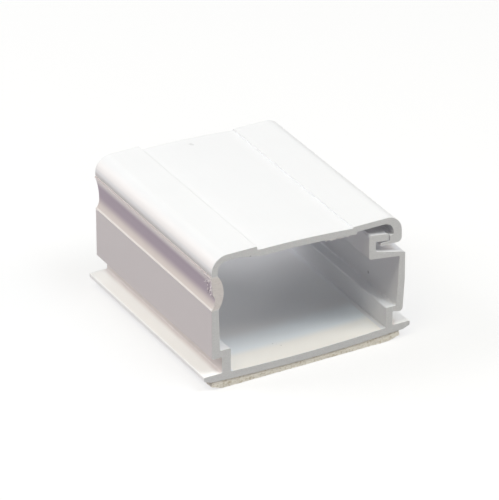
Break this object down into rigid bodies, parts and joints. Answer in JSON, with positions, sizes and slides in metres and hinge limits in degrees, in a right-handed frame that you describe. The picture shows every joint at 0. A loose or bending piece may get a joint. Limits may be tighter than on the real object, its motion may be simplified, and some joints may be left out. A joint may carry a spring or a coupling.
{
  "type": "cord cover raceway",
  "caption": "Short cut length of latching cord cover raceway: flanged channel with a hinged snap-shut lid and an adhesive tape base.",
  "frame": {"origin": "middle of the adhesive tape's plane that sticks to the wall, centred between the flange tips and between the two cut ends", "axes": "+Y along the raceway, +Z away from the wall towards the lid, +X across the section from the hinge side to the latch side"},
  "size_m": [0.0406, 0.0422, 0.0256],
  "materials": {
    "rigid_pvc": "satin, as extruded",
    "flexible_pvc": "satin, slightly warmer than the rigid plastic",
    "foam_tape": "mottled closed-cell foam with a cut edge"
  },
  "bodies": {
    "base": {"base_channel": "rigid_pvc", "adhesive_tape": "foam_tape", "hinge_strip": "flexible_pvc"},
    "cover": {"lid": "rigid_pvc"}
  },
  "joints": [
    {"name": "lid_hinge", "type": "hinge", "parent": "base", "child": "cover", "pos_m": [-0.0176, 0, 0.0187], "axis": [0, -1, 0], "range_deg": [0, 120], "deforming": ["hinge_strip"]}
  ]
}
